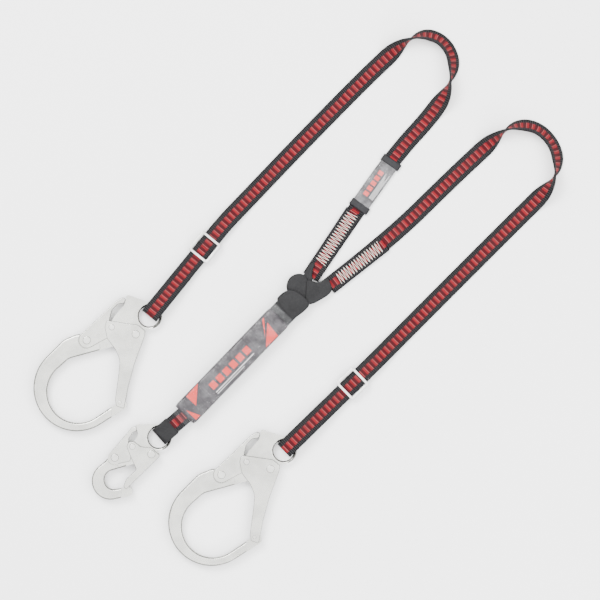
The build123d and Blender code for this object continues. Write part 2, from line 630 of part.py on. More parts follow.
def make_hook(name, spec, eye):
    """One gated hook, all its pieces on the mid plane of the hook."""
    plane = plan_plane(eye, 0, HOOK_Z)
    make_hook_body(name, spec, plane)
    gate_holes = [(spec["gate_pivot"], SHANK), (spec["lock_rivet"], SMALL_SHANK)]
    if spec["nose_pin"]:
        gate_holes.append((spec["nose_pin"], 1.6))
        make_rivet(f"{name}_nose_pin", spec["nose_pin"], 1.6, 2.5, GATE_HALF, plane, 0.9)
    make_folded_sheet(f"{name}_gate", spec["gate"], spec["gate_radii"], spec["gate_inside"], GATE_HALF,
                      spec["fold"], plane, gate_holes)
    make_folded_sheet(f"{name}_lock_lever", spec["lever"], spec["lever_radii"], spec["lever_inside"],
                      LEVER_HALF, spec["lever"][:2], plane, [(spec["lever_pivot"], SHANK)],
                      (spec["lever_pivot"], spec["lever_round"]))
    make_rivet(f"{name}_gate_rivet", spec["gate_pivot"], SHANK, 5.6, GATE_HALF, plane)
    make_rivet(f"{name}_lever_rivet", spec["lever_pivot"], SHANK, 5.6, LEVER_HALF, plane)
    make_lock_rivets(f"{name}_lock_rivets", spec["lock_rivet"], plane)
    make_spring(f"{name}_gate_spring", spec["gate_pivot"], PLATE_HALF + 0.1, 1.95, 4.6, 0.85,
                spec["spring_leg"], 9.0, plane)
    make_spring(f"{name}_lever_spring", spec["lever_pivot"], PLATE_HALF - 2.5, 2.4, 4.8, 1.0, 0.0, 0.0, plane)


# ---------------------------------------------------------------- build everything
make_cover()
make_tear_pack()
make_end_loops()
make_yoke_sleeves()
make_leg("left", LEFT_ROUTE, LEFT_EYE, LEFT_STRAP_ANGLE, LEFT_ADJUSTER_AT)
make_leg("right", RIGHT_ROUTE, RIGHT_EYE, RIGHT_STRAP_ANGLE, RIGHT_ADJUSTER_AT)
make_sewn_end("left", (20.0, 39.0), 56.5, 90.0, (3.0, 84.0))
make_sewn_end("right", (45.0, 16.0), 38.2, 86.0, (3.0, 78.0))
make_label_pouch()
make_adjuster("left", LEFT_EYE, LEFT_STRAP_ANGLE, LEFT_ADJUSTER_AT)
make_adjuster("right", RIGHT_EYE, RIGHT_STRAP_ANGLE, RIGHT_ADJUSTER_AT)
make_hook("left_hook", REBAR, LEFT_EYE)
make_hook("right_hook", REBAR, RIGHT_EYE)
make_hook("snap_hook", SNAP, SNAP_EYE)
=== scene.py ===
"""Looks of the shock absorbing lanyard, laid flat and seen from above. Metres, +Z up."""
import json
import random
from math import atan2, ceil, cos, hypot, pi, radians, sin

import bpy
from mathutils import Matrix, Vector


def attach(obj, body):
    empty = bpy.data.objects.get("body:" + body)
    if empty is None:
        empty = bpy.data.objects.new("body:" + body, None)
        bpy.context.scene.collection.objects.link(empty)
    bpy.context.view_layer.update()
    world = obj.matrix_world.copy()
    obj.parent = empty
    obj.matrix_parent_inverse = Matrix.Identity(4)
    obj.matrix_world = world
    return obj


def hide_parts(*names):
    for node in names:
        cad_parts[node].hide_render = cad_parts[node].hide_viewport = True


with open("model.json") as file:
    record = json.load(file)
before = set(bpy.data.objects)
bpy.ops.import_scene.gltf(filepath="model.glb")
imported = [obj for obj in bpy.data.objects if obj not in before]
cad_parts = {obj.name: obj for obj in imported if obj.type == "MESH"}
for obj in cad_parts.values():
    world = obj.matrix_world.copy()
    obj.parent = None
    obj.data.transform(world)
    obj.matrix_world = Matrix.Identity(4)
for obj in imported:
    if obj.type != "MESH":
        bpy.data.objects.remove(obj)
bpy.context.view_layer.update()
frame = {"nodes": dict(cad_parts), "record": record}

# ------------------------------------------------------------------ layout, repeated from the part
YOKE = (0.123856, 0.096091)
WEB_WIDTH = 0.0254
WEB_THICK = 0.0022
TAIL_THICK = 0.0020
SLEEVE_THICK = 0.0008
HOOK_Z = 0.009
ABSORBER_ANGLE = 46.0
COVER_START = (-0.1728, -0.1766)
COVER_LENGTH = 0.200
COVER_HEIGHT = 0.024
LEFT_EYE = (-0.2208, -0.0344)
RIGHT_EYE = (-0.0302, -0.2249)
SNAP_EYE = (-0.2073, -0.2062)
LEFT_STRAP_ANGLE = 51.0
RIGHT_STRAP_ANGLE = 44.2
SNAP_STRAP_ANGLE = 41.0
LEFT_ADJUSTER_AT = 0.1255
RIGHT_ADJUSTER_AT = 0.1360
STRAIGHT_PAST_ADJUSTER = 0.043
RAMP_LENGTH = 0.046
STRAP_MID_AT_ADJUSTER = 0.0081
LEFT_ROUTE = [(0.0156, 0.0324), (0.0740, 0.1180), (0.1310, 0.1980), (0.1800, 0.2510), (0.2060, 0.2910),
              (0.2130, 0.3300), (0.1940, 0.3600), (0.1600, 0.3670), (0.1180, 0.3365), (0.0, 0.2170)]
RIGHT_ROUTE = [(0.0340, 0.0075), (0.1230, 0.0770), (0.2050, 0.1580), (0.2640, 0.2130), (0.2920, 0.2370),
               (0.3300, 0.2350), (0.3570, 0.2050), (0.3590, 0.1680), (0.3380, 0.1390), (0.2980, 0.1000)]
LEFT_ROLLS = ((0.2073, 0.2965), (0.1491, 0.3576))
RIGHT_ROLLS = ((0.2840, 0.2298), (0.3522, 0.1630))
ROOT = "webbing_and_absorber"


def in_row(point, height=0.0):
    """A plan point given from the yoke, in the row frame."""
    return Vector((YOKE[0] + point[0], YOKE[1] + point[1], height))


def heading(angle, distance=1.0):
    return Vector((distance * cos(radians(angle)), distance * sin(radians(angle)), 0.0))


def ahead(point, angle, distance):
    step = heading(angle, distance)
    return (point[0] + step.x, point[1] + step.y)


# ------------------------------------------------------------------ camera
VIEW_WIDTH = 0.852
CAMERA_HEIGHT = 4.0
camera_data = bpy.data.cameras.new("camera")
camera_data.sensor_width = 36.0
camera_data.lens = 36.0 * CAMERA_HEIGHT / VIEW_WIDTH
camera = bpy.data.objects.new("camera", camera_data)
camera.location = (0.1168, 0.0845, CAMERA_HEIGHT)
bpy.context.collection.objects.link(camera)
bpy.context.scene.camera = camera


# ------------------------------------------------------------------ materials
class Graph:
    """Short helper for one procedural material."""

    def __init__(self, name):
        self.material = bpy.data.materials.new(name)
        self.material.use_nodes = True
        self.nodes = self.material.node_tree.nodes
        self.links = self.material.node_tree.links
        self.shader = self.nodes["Principled BSDF"]

    def node(self, kind, **values):
        made = self.nodes.new(kind)
        for key, value in values.items():
            setattr(made, key, value)
        return made

    def link(self, source, target):
        self.links.new(source, target)

    def put(self, socket, value):
        if isinstance(value, bpy.types.NodeSocket):
            self.link(value, socket)
        else:
            socket.default_value = value

    def math(self, operation, first, second=0.0, third=None, clamp=False):
        made = self.node("ShaderNodeMath", operation=operation, use_clamp=clamp)
        self.put(made.inputs[0], first)
        self.put(made.inputs[1], second)
        if third is not None:
            self.put(made.inputs[2], third)
        return made.outputs[0]

    def mix(self, factor, first, second, blend="MIX"):
        made = self.node("ShaderNodeMix", data_type="RGBA", blend_type=blend)
        self.put(made.inputs[0], factor)
        self.put(made.inputs[6], first)
        self.put(made.inputs[7], second)
        return made.outputs[2]

    def uv(self):
        made = self.node("ShaderNodeTexCoord")
        split = self.node("ShaderNodeSeparateXYZ")
        self.link(made.outputs["UV"], split.inputs[0])
        return split.outputs[0], split.outputs[1]

    def place(self, stretch=(1, 1, 1)):
        made = self.node("ShaderNodeTexCoord")
        mapping = self.node("ShaderNodeMapping")
        mapping.inputs["Scale"].default_value = stretch
        self.link(made.outputs["Object"], mapping.inputs[0])
        return mapping.outputs[0]

    def noise(self, scale, detail=3.0, vector=None, roughness=0.5):
        made = self.node("ShaderNodeTexNoise")
        made.inputs["Scale"].default_value = scale
        made.inputs["Detail"].default_value = detail
        made.inputs["Roughness"].default_value = roughness
        self.link(vector or self.place(), made.inputs["Vector"])
        return made.outputs["Fac"]

    def ramp(self, value, low, high, low_out=0.0, high_out=1.0):
        made = self.node("ShaderNodeMapRange", interpolation_type="SMOOTHSTEP")
        for index, given in enumerate((value, low, high, low_out, high_out)):
            self.put(made.inputs[index], given)
        return made.outputs[0]

    def bump(self, height, distance, strength=1.0, normal=None):
        made = self.node("ShaderNodeBump")
        made.inputs["Strength"].default_value = strength
        made.inputs["Distance"].default_value = distance
        self.put(made.inputs["Height"], height)
        if normal:
            self.link(normal, made.inputs["Normal"])
        return made.outputs[0]

    def wave(self, coordinate, pitch, phase=0.0):
        """0 to 1 along a length, once each pitch."""
        turned = self.math("MULTIPLY_ADD", coordinate, 2 * pi / pitch, phase)
        return self.math("MULTIPLY_ADD", self.math("SINE", turned), 0.5, 0.5)


BLOCK = 0.0084
RIB = BLOCK / 3


def webbing_material():
    """Black webbing with a red band of light and dark blocks, cross ribs and woven yarns, with a painted
    highlight on the rib crests and a painted shade in the rib troughs of the red band.
    """
    g = Graph("striped_webbing")
    along, across = g.uv()
    wobble = g.math("MULTIPLY_ADD", g.noise(220, 2), 0.03, -0.015)
    from_middle = g.math("ABSOLUTE", g.math("ADD", g.math("SUBTRACT", across, 0.5), wobble))
    red = g.ramp(from_middle, 0.215, 0.235, 1.0, 0.0)
    rib = g.wave(along, RIB)
    cell = g.math("FRACT", g.math("DIVIDE", along, BLOCK))
    light_block = g.math("MULTIPLY", g.ramp(cell, 0.48, 0.52), g.ramp(cell, 0.94, 0.98, 1.0, 0.0))
    pale_line = g.math("MULTIPLY", g.ramp(cell, 0.45, 0.49), g.ramp(cell, 0.55, 0.60, 1.0, 0.0))
    dirt = g.noise(60, 4)
    reds = g.mix(light_block, (0.045, 0.003, 0.005, 1), (0.190, 0.008, 0.012, 1))
    reds = g.mix(g.math("MULTIPLY", pale_line, 0.45), reds, (0.50, 0.15, 0.14, 1))
    # painted shade: the red band is darkened in the rib troughs
    reds = g.mix(g.math("MULTIPLY", g.math("SUBTRACT", 1.0, rib), 0.45), reds, (0.03, 0.004, 0.007, 1))
    yarn = g.wave(across, 1 / 17)
    # painted highlight: the black rib crests are coloured lighter than the troughs between them
    painted_rib_highlight = g.math("MULTIPLY", g.math("POWER", rib, 2.2), g.ramp(yarn, 0.1, 0.9, 0.65, 1.0))
    blacks = g.mix(g.math("MULTIPLY", painted_rib_highlight, 0.85), (0.0015, 0.0015, 0.002, 1), (0.036, 0.036, 0.038, 1))
    colour = g.mix(red, blacks, reds)
    colour = g.mix(g.ramp(dirt, 0.35, 0.75, 0.0, 0.22), colour, (0.02, 0.018, 0.018, 1))
    g.link(colour, g.shader.inputs["Base Color"])
    g.shader.inputs["Specular IOR Level"].default_value = 0.09
    g.link(g.ramp(g.noise(500, 2), 0.3, 0.7, 0.62, 0.80), g.shader.inputs["Roughness"])
    height = g.math("ADD", rib, g.math("MULTIPLY", yarn, 0.28))
    g.link(g.bump(height, 0.00045, 0.95), g.shader.inputs["Normal"])
    return g.material


def sleeve_material(name, dark, light, pitch=0.0007):
    """Plain woven sleeve fabric with soft creases, darkened along them with a painted shade."""
    g = Graph(name)
    split = g.node("ShaderNodeSeparateXYZ")
    turned = g.node("ShaderNodeVectorRotate", rotation_type="Z_AXIS")
    turned.inputs["Angle"].default_value = radians(-ABSORBER_ANGLE)
    g.link(g.place(), turned.inputs["Vector"])
    g.link(turned.outputs[0], split.inputs[0])
    weave = g.math("MULTIPLY", g.wave(split.outputs[0], pitch), g.wave(split.outputs[1], pitch))
    crease = g.noise(46, 3, roughness=0.45)
    fine = g.noise(900, 2)
    colour = g.mix(g.ramp(weave, 0.1, 0.9, 0.15, 0.85), dark, light)
    # painted shade: the colour darkens with the same crease field that bumps the cloth
    colour = g.mix(g.ramp(crease, 0.35, 0.7, 0.0, 0.35), colour, dark)
    g.link(colour, g.shader.inputs["Base Color"])
    g.link(g.ramp(fine, 0.3, 0.7, 0.5, 0.68), g.shader.inputs["Roughness"])
    g.shader.inputs["Specular IOR Level"].default_value = 0.16
    rough = g.bump(crease, 0.0075, 0.8)
    g.link(g.bump(weave, 0.00012, 0.7, rough), g.shader.inputs["Normal"])
    return g.material


def steel_material(name, colour, rough_low, rough_high, grain=0.00005, painted_edge_shade=0.85):
    """Plated steel with faint stains, tumbling marks, uneven gloss, and a painted shade darkening its sloping
    edge faces.
    """
    g = Graph(name)
    cloud = g.noise(38, 5)
    speck = g.noise(650, 4, roughness=0.65)
    scratch = g.noise(140, 3, g.place((1, 14, 1)))
    darker = tuple(value * 0.80 for value in colour[:3]) + (1,)
    tint = g.mix(g.ramp(cloud, 0.35, 0.7), colour, darker)
    tint = g.mix(g.ramp(speck, 0.62, 0.78, 0.0, 0.45), tint, (0.30, 0.29, 0.25, 1))
    facing = g.node("ShaderNodeSeparateXYZ")
    g.link(g.node("ShaderNodeNewGeometry").outputs["Normal"], facing.inputs[0])
    level = g.math("ABSOLUTE", facing.outputs[2])
    # painted shade: faces sloping between flat and upright are darkened by the way they face
    edge = g.math("MULTIPLY", g.ramp(level, 0.82, 0.975, 1.0, 0.0), g.ramp(level, 0.12, 0.35))
    tint = g.mix(g.math("MULTIPLY", edge, painted_edge_shade), tint, (0.075, 0.072, 0.062, 1))
    g.link(tint, g.shader.inputs["Base Color"])
    g.shader.inputs["Metallic"].default_value = 1.0
    gloss = g.math("ADD", g.math("MULTIPLY", scratch, 0.5), g.math("MULTIPLY", speck, 0.5))
    g.link(g.ramp(gloss, 0.35, 0.65, rough_low, rough_high), g.shader.inputs["Roughness"])
    height = g.math("ADD", speck, g.math("MULTIPLY", cloud, 2.0))
    g.link(g.bump(height, grain * 4, 0.5), g.shader.inputs["Normal"])
    return g.material


def thread_material():
    g = Graph("cream_thread")
    twist = g.wave(g.uv()[0], 0.0009)
    colour = g.mix(twist, (0.50, 0.46, 0.38, 1), (0.86, 0.82, 0.73, 1))
    g.link(g.mix(g.ramp(g.noise(300, 2), 0.4, 0.7, 0.0, 0.5), colour, (0.55, 0.42, 0.38, 1)),
           g.shader.inputs["Base Color"])
    g.shader.inputs["Roughness"].default_value = 0.6
    g.link(g.bump(twist, 0.0001, 0.6), g.shader.inputs["Normal"])
    return g.material


def wrinkles(g, scale=1.0):
    """Bump of shrunk film: long soft folds, crossing creases and fine ripples."""
    long_fold = g.noise(26 * scale, 3, g.place((0.35, 1.3, 1.0)), 0.55)
    crease = g.noise(75 * scale, 2, g.place((1.0, 0.5, 1.0)))
    sharp = g.math("ABSOLUTE", g.math("SUBTRACT", crease, 0.5))
    height = g.math("ADD", long_fold, g.math("MULTIPLY", g.math("MINIMUM", sharp, 0.08), -2.5))
    return g.bump(height, 0.0034, 0.8)


def film_material(name, alpha, tint=(0.86, 0.88, 0.90, 1)):
    g = Graph(name)
    g.link(g.mix(g.ramp(g.noise(120, 3), 0.4, 0.7), tint, (0.97, 0.98, 1.0, 1)),
           g.shader.inputs["Base Color"])
    g.link(g.ramp(g.noise(70, 4), 0.42, 0.66, alpha * 0.7, min(1.0, alpha * 2.0)), g.shader.inputs["Alpha"])
    g.shader.inputs["Roughness"].default_value = 0.12
    g.shader.inputs["Specular IOR Level"].default_value = 0.45
    g.shader.inputs["Coat Weight"].default_value = 0.3
    g.shader.inputs["Coat Roughness"].default_value = 0.05
    normal = wrinkles(g, 1.6)
    g.link(normal, g.shader.inputs["Normal"])
    g.link(normal, g.shader.inputs["Coat Normal"])
    return g.material


def inside_triangle(g, x, y, corners):
    """Mask of a triangle given by its corners, anticlockwise."""
    mask = None
    for (ax, ay), (bx, by) in zip(corners, corners[1:] + corners[:1]):
        size = hypot(bx - ax, by - ay)
        part_x = g.math("MULTIPLY", g.math("SUBTRACT", y, ay), (bx - ax) / size)
        part_y = g.math("MULTIPLY", g.math("SUBTRACT", x, ax), (by - ay) / size)
        side = g.ramp(g.math("SUBTRACT", part_x, part_y), -0.0001, 0.0002)
        mask = side if mask is None else g.math("MULTIPLY", mask, side)
    return mask


def inside_box(g, x, y, left, right, low, high):
    """Mask of an upright rectangle."""
    mask = g.ramp(x, left - 0.0002, left + 0.0001)
    for value, start, end in ((x, right + 0.0002, right - 0.0001), (y, low - 0.0002, low + 0.0001),
                              (y, high + 0.0002, high - 0.0001)):
        mask = g.math("MULTIPLY", mask, g.ramp(value, start, end))
    return mask


def label_material():
    """Dark printed label under the film: coral triangles at the ends, plain marks between."""
    g = Graph("printed_label")
    split = g.node("ShaderNodeSeparateXYZ")
    g.link(g.place(), split.inputs[0])
    x, y, z = split.outputs
    base = g.mix(g.ramp(g.noise(90, 3), 0.35, 0.7), (0.016, 0.013, 0.016, 1), (0.040, 0.035, 0.040, 1))
    coral = (0.44, 0.022, 0.016, 1)
    triangles = [
        [(0.024, 0.0165), (0.0245, -0.003), (0.049, 0.0175)],
        [(0.010, -0.0165), (0.019, -0.0165), (0.010, 0.003)],
        [(0.152, -0.0165), (0.176, -0.0175), (0.179, 0.0065)],
        [(0.160, -0.0080), (0.181, 0.0150), (0.177, 0.0150)],
    ]
    for corners in triangles:
        base = g.mix(inside_triangle(g, x, y, corners), base, coral)
    bars = [(0.058 + 0.0135 * index, 0.0675 + 0.0135 * index) for index in range(6)]
    for left, right in bars:
        base = g.mix(inside_box(g, x, y, left, right, -0.0052, 0.0052), base, coral)
    base = g.mix(inside_box(g, x, y, 0.058, 0.1345, -0.0107, -0.0094), base, (0.42, 0.40, 0.40, 1))
    base = g.mix(inside_box(g, x, y, 0.058, 0.112, -0.0135, -0.0126), base, (0.42, 0.40, 0.40, 1))
    g.link(base, g.shader.inputs["Base Color"])
    g.shader.inputs["Roughness"].default_value = 0.42
    g.shader.inputs["Specular IOR Level"].default_value = 0.12
    g.shader.inputs["Coat Weight"].default_value = 0.22
    g.shader.inputs["Coat Roughness"].default_value = 0.09
    normal = wrinkles(g)
    g.link(normal, g.shader.inputs["Normal"])
    g.link(normal, g.shader.inputs["Coat Normal"])
    return g.material


def card_material():
    """Dark card of the pouch with plain coral and pale marks."""
    g = Graph("card")
    split = g.node("ShaderNodeSeparateXYZ")
    g.link(g.place(), split.inputs[0])
    x, y, z = split.outputs
    base = g.mix(g.noise(150, 2), (0.018, 0.016, 0.018, 1), (0.036, 0.033, 0.036, 1))
    for index in range(5):
        left = -0.021 + 0.0088 * index
        base = g.mix(inside_box(g, x, y, left, left + 0.0062, -0.0005, 0.0068), base, (0.48, 0.034, 0.026, 1))
    for index in range(4):
        low = -0.0045 - 0.0018 * index
        right = 0.021 - 0.005 * (index % 3)
        base = g.mix(inside_box(g, x, y, -0.021, right, low, low + 0.0007), base, (0.45, 0.44, 0.44, 1))
    g.link(base, g.shader.inputs["Base Color"])
    g.shader.inputs["Roughness"].default_value = 0.4
    g.shader.inputs["Specular IOR Level"].default_value = 0.12
    g.shader.inputs["Coat Weight"].default_value = 0.25
    g.shader.inputs["Coat Roughness"].default_value = 0.1
    normal = wrinkles(g, 2.0)
    g.link(normal, g.shader.inputs["Coat Normal"])
    return g.material


WEBBING = webbing_material()
GREY_SLEEVE = sleeve_material("grey_sleeve_fabric", (0.004, 0.004, 0.0045, 1), (0.022, 0.022, 0.023, 1))
BLACK_SLEEVE = sleeve_material("black_sleeve_fabric", (0.004, 0.004, 0.0045, 1), (0.018, 0.018, 0.019, 1))
HEM = sleeve_material("black_hem", (0.008, 0.008, 0.009, 1), (0.028, 0.028, 0.030, 1), 0.0011)
TEAR = sleeve_material("tear_webbing", (0.11, 0.012, 0.018, 1), (0.34, 0.030, 0.040, 1), 0.0016)
ZINC = steel_material("zinc_steel", (0.50, 0.50, 0.470, 1), 0.18, 0.34)
RIVET = steel_material("rivet_steel", (0.60, 0.60, 0.57, 1), 0.14, 0.28)
SPRING = steel_material("spring_steel", (0.45, 0.45, 0.45, 1), 0.30, 0.45)
NICKEL = steel_material("nickel_steel", (0.72, 0.72, 0.70, 1), 0.10, 0.20, 0.00002, 0.7)
THREAD = thread_material()
FILM = film_material("clear_film", 0.03)
POUCH_FILM = film_material("pouch_film", 0.05)
LABEL = label_material()
CARD = card_material()


# ------------------------------------------------------------------ making pieces
def add_object(name, mesh, material, body=ROOT, smooth=True):
    made = bpy.data.objects.new(name, mesh)
    bpy.context.collection.objects.link(made)
    mesh.materials.clear()
    mesh.materials.append(material)
    for face in mesh.polygons:
        face.use_smooth = smooth
    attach(made, body)
    return made


def spline_points(points):
    """Points of the smooth NURBS curve that has these control points."""
    data = bpy.data.curves.new("route", "CURVE")
    data.dimensions = "3D"
    data.resolution_u = 48
    spline = data.splines.new("NURBS")
    spline.points.add(len(points) - 1)
    for control, point in zip(spline.points, points):
        control.co = (*point, 1.0)
    spline.order_u = 3
    spline.use_endpoint_u = True
    holder = bpy.data.objects.new("route", data)
    bpy.context.collection.objects.link(holder)
    bpy.context.view_layer.update()
    mesh = bpy.data.meshes.new_from_object(holder.evaluated_get(bpy.context.evaluated_depsgraph_get()))
    found = [vertex.co.copy() for vertex in mesh.vertices]
    bpy.data.objects.remove(holder)
    bpy.data.curves.remove(data)
    bpy.data.meshes.remove(mesh)
    return found


def even_rows(points, spacing):
    """Places along the points at an even spacing, with the distance of each."""
    marks = [0.0]
    for before, after in zip(points, points[1:]):
        marks.append(marks[-1] + (after - before).length)
    count = max(2, ceil(marks[-1] / spacing))
    rows, index = [], 0
    for step in range(count + 1):
        target = marks[-1] * step / count
        while index < len(marks) - 2 and marks[index + 1] < target:
            index += 1
        share = (target - marks[index]) / max(1e-9, marks[index + 1] - marks[index])
        rows.append((points[index].lerp(points[index + 1], share), target))
    return rows


def smoothstep(value):
    value = min(1.0, max(0.0, value))
    return value * value * (3 - 2 * value)


ACROSS = (-0.955, -0.7, -0.45, -0.15, 0.15, 0.45, 0.7, 0.955)
SECTION = [(a, 1) for a in ACROSS] + [(1, 0.5), (1, -0.5)]
SECTION += [(a, -1) for a in reversed(ACROSS)] + [(-1, -0.5), (-1, 0.5)]


LAYER_GAP = 0.00015
RIB_SPREAD = 0.00013
RIB_RISE = 0.00007
ROW_SPACING = RIB / 2


def band_mesh(name, rows, width, thickness, side=None, roll=None, curl=0.0, ribs=True, u_start=0.0):
    """A woven band along rows of (place, distance). side is its fixed sideways direction, or it lies flat."""
    vertices, coordinates = [], []
    ring = len(SECTION)
    last = len(rows) - 1
    for number, (place, distance) in enumerate(rows):
        tangent = rows[min(number + 1, last)][0] - rows[max(number - 1, 0)][0]
        tangent.normalize()
        across = side.copy() if side else Vector((0, 0, 1)).cross(tangent).normalized()
        turn, outward = roll(distance) if roll else (0.0, 1)
        if turn:
            across = Matrix.Rotation(-outward * turn, 3, tangent) @ across
        normal = tangent.cross(across).normalized()
        middle = place + Vector((0, 0, abs(sin(turn)) * width / 2))
        swell = (1 if number % 2 else -1) if ribs else 0
        for a, b in SECTION:
            spread = a * (width / 2 + swell * RIB_SPREAD)
            rise = b * (thickness / 2 + swell * RIB_RISE) + curl * sin(turn) * (1 - a * a)
            vertices.append(middle + across * spread + normal * rise)
            coordinates.append((u_start + distance, (a + 1) / 2))
    faces = []
    for number in range(last):
        for corner in range(ring):
            after = (corner + 1) % ring
            faces.append((number * ring + corner, number * ring + after,
                          (number + 1) * ring + after, (number + 1) * ring + corner))
    faces.append(tuple(range(ring))[::-1])
    faces.append(tuple(last * ring + corner for corner in range(ring)))
    mesh = bpy.data.meshes.new(name)
    mesh.from_pydata(vertices, [], faces)
    layer = mesh.uv_layers.new(name="UVMap")
    for loop in mesh.loops:
        layer.data[loop.index].uv = coordinates[loop.vertex_index]
    mesh.update()
    return mesh


def side_points(point, angle, steps):
    """Points of a side view (distance, height) along a direction, in the row frame."""
    return [in_row(ahead(point, angle, distance), height) for distance, height in steps]


def band(name, points, width, thickness, material, body=ROOT, angle=None, ribs=True, u_start=0.0):
    """A band whose side view follows the smooth curve of a few points."""
    rows = even_rows(spline_points(points), ROW_SPACING)
    side = heading(angle + 90) if angle is not None else None
    mesh = band_mesh(name, rows, width, thickness, side, ribs=ribs, u_start=u_start)
    return add_object(name, mesh, material, body)


def thread(name, lines, radius, body=ROOT):
    """Sewing thread along lines of points, as round strands."""
    data = bpy.data.curves.new(name, "CURVE")
    data.dimensions = "3D"
    data.bevel_depth = radius
    data.bevel_resolution = 2
    data.use_fill_caps = True
    for points in lines:
        spline = data.splines.new("POLY")
        spline.points.add(len(points) - 1)
        for control, point in zip(spline.points, points):
            control.co = (*point, 1.0)
    holder = bpy.data.objects.new(name + "_line", data)
    bpy.context.collection.objects.link(holder)
    bpy.context.view_layer.update()
    mesh = bpy.data.meshes.new_from_object(holder.evaluated_get(bpy.context.evaluated_depsgraph_get()))
    bpy.data.objects.remove(holder)
    return add_object(name, mesh, THREAD, body)


STITCH_SINK = 0.0004
STITCH_RISE = 0.00018


def zigzag(start, angle, length, half_width, height, pitch, random_source):
    """One row of zigzag stitches: a line of points to and fro across the band, rising between its ends."""
    points = []
    step = 0
    distance = 0.0
    while distance <= length:
        side = half_width if step % 2 else -half_width
        slip = random_source.uniform(-0.0003, 0.0003)
        centre = ahead(start, angle, distance + slip)
        reach = side + random_source.uniform(-0.0004, 0.0004)
        here = in_row(ahead(centre, angle + 90, reach), height - STITCH_SINK)
        if points:
            middle = (points[-1] + here) / 2
            middle.z = height + STITCH_RISE
            lift = Vector((0, 0, STITCH_SINK))
            points += [points[-1].lerp(middle, 0.35) + lift, middle, here.lerp(middle, 0.35) + lift]
        points.append(here)
        step += 1
        distance += pitch / 2
    return points


# ------------------------------------------------------------------ legs
def roll_profile(rows, pinches, turn, length=0.090, most=radians(134)):
    """The strap lies flat, rolls over at the first pinch, and back at the second."""
    def nearest(pinch):
        target = in_row(pinch)
        return min(rows, key=lambda row: hypot(row[0].x - target.x, row[0].y - target.y))[1]

    first, second = nearest(pinches[0]), nearest(pinches[1])
    before = 0.62

    def roll(distance):
        rise = smoothstep((distance - first + before * length) / length)
        fall = 1 - smoothstep((distance - second + (1 - before) * length) / length)
        return most * rise * fall, turn

    return roll


def make_leg(side_name, route, eye, strap_angle, adjuster_at, pinches, turn):
    bend_at = ahead(eye, strap_angle, adjuster_at + STRAIGHT_PAST_ADJUSTER)
    towards = atan2(route[-1][1] - bend_at[1], route[-1][0] - bend_at[0]) * 180 / pi
    ramp_foot = ahead(bend_at, towards, RAMP_LENGTH)
    low = WEB_THICK / 2
    controls = [in_row(point, low) for point in route]
    controls += [in_row(ramp_foot, low), in_row(ahead(bend_at, towards, 0.006), STRAP_MID_AT_ADJUSTER),
                 in_row(ahead(eye, strap_angle, adjuster_at + 0.020), STRAP_MID_AT_ADJUSTER),
                 in_row(ahead(eye, strap_angle, adjuster_at), STRAP_MID_AT_ADJUSTER)]
    rows = even_rows(spline_points(controls), ROW_SPACING)
    roll = roll_profile(rows, pinches, turn)
    mesh = band_mesh(side_name, rows, WEB_WIDTH, WEB_THICK, roll=roll, curl=0.0016)
    strap = add_object(f"{side_name}_leg_strap", mesh, WEBBING)
    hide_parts(f"{side_name}_leg_webbing")
    path = [place + Vector((0, 0, abs(sin(roll(distance)[0])) * WEB_WIDTH / 2)) for place, distance in rows]
    length = rows[-1][1]
    print(side_name, "leg length", round(length, 4))
    high = 2 * HOOK_Z - low - 0.0001
    bottom = low + 0.0001
    turn_at = WEB_THICK / 2
    steps = [(adjuster_at, STRAP_MID_AT_ADJUSTER), (adjuster_at - 0.012, STRAP_MID_AT_ADJUSTER),
             (adjuster_at - 0.034, STRAP_MID_AT_ADJUSTER), (0.026, high), (0.012, high),
             (0.0035, high - 0.0002), (turn_at, high - 0.0028), (turn_at, HOOK_Z), (turn_at, bottom + 0.0028),
             (0.0035, bottom + 0.0002), (0.012, bottom), (adjuster_at - 0.060, bottom),
             (adjuster_at - 0.047, bottom)]
    band(f"{side_name}_leg_end", side_points(eye, strap_angle, steps), WEB_WIDTH, WEB_THICK, WEBBING,
         angle=strap_angle + 180, u_start=length)


make_leg("left", LEFT_ROUTE, LEFT_EYE, LEFT_STRAP_ANGLE, LEFT_ADJUSTER_AT, LEFT_ROLLS, 1)
make_leg("right", RIGHT_ROUTE, RIGHT_EYE, RIGHT_STRAP_ANGLE, RIGHT_ADJUSTER_AT, RIGHT_ROLLS, -1)


def make_sewn_end(side_name, start, angle, length, stitched, seed, before):
    """The turned-back layer on the leg, and its pack of zigzag stitches."""
    middle_z = WEB_THICK + LAYER_GAP + WEB_THICK / 2
    points = [in_row(ahead(start, angle, distance), middle_z) for distance in (-before, 0.02, 0.06, length)]
    layer = band(f"{side_name}_sewn_layer", points, WEB_WIDTH - 0.0004, WEB_THICK, WEBBING,
                 u_start=0.003)
    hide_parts(f"{side_name}_leg_sewn_end")
    top = WEB_THICK * 2 + LAYER_GAP
    source = random.Random(seed)
    begin = ahead(start, angle, stitched[0])
    lines = [zigzag(begin, angle, stitched[1], 0.0094, top, 0.0046, source)]
    made = thread(f"{side_name}_stitches", lines, 0.00032)
    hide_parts(f"{side_name}_leg_stitch_pack")


make_sewn_end("left", (0.0200, 0.0390), 56.5, 0.090, (0.003, 0.084), 11, 0.022)
make_sewn_end("right", (0.0450, 0.0160), 38.2, 0.086, (0.003, 0.078), 12, 0.012)


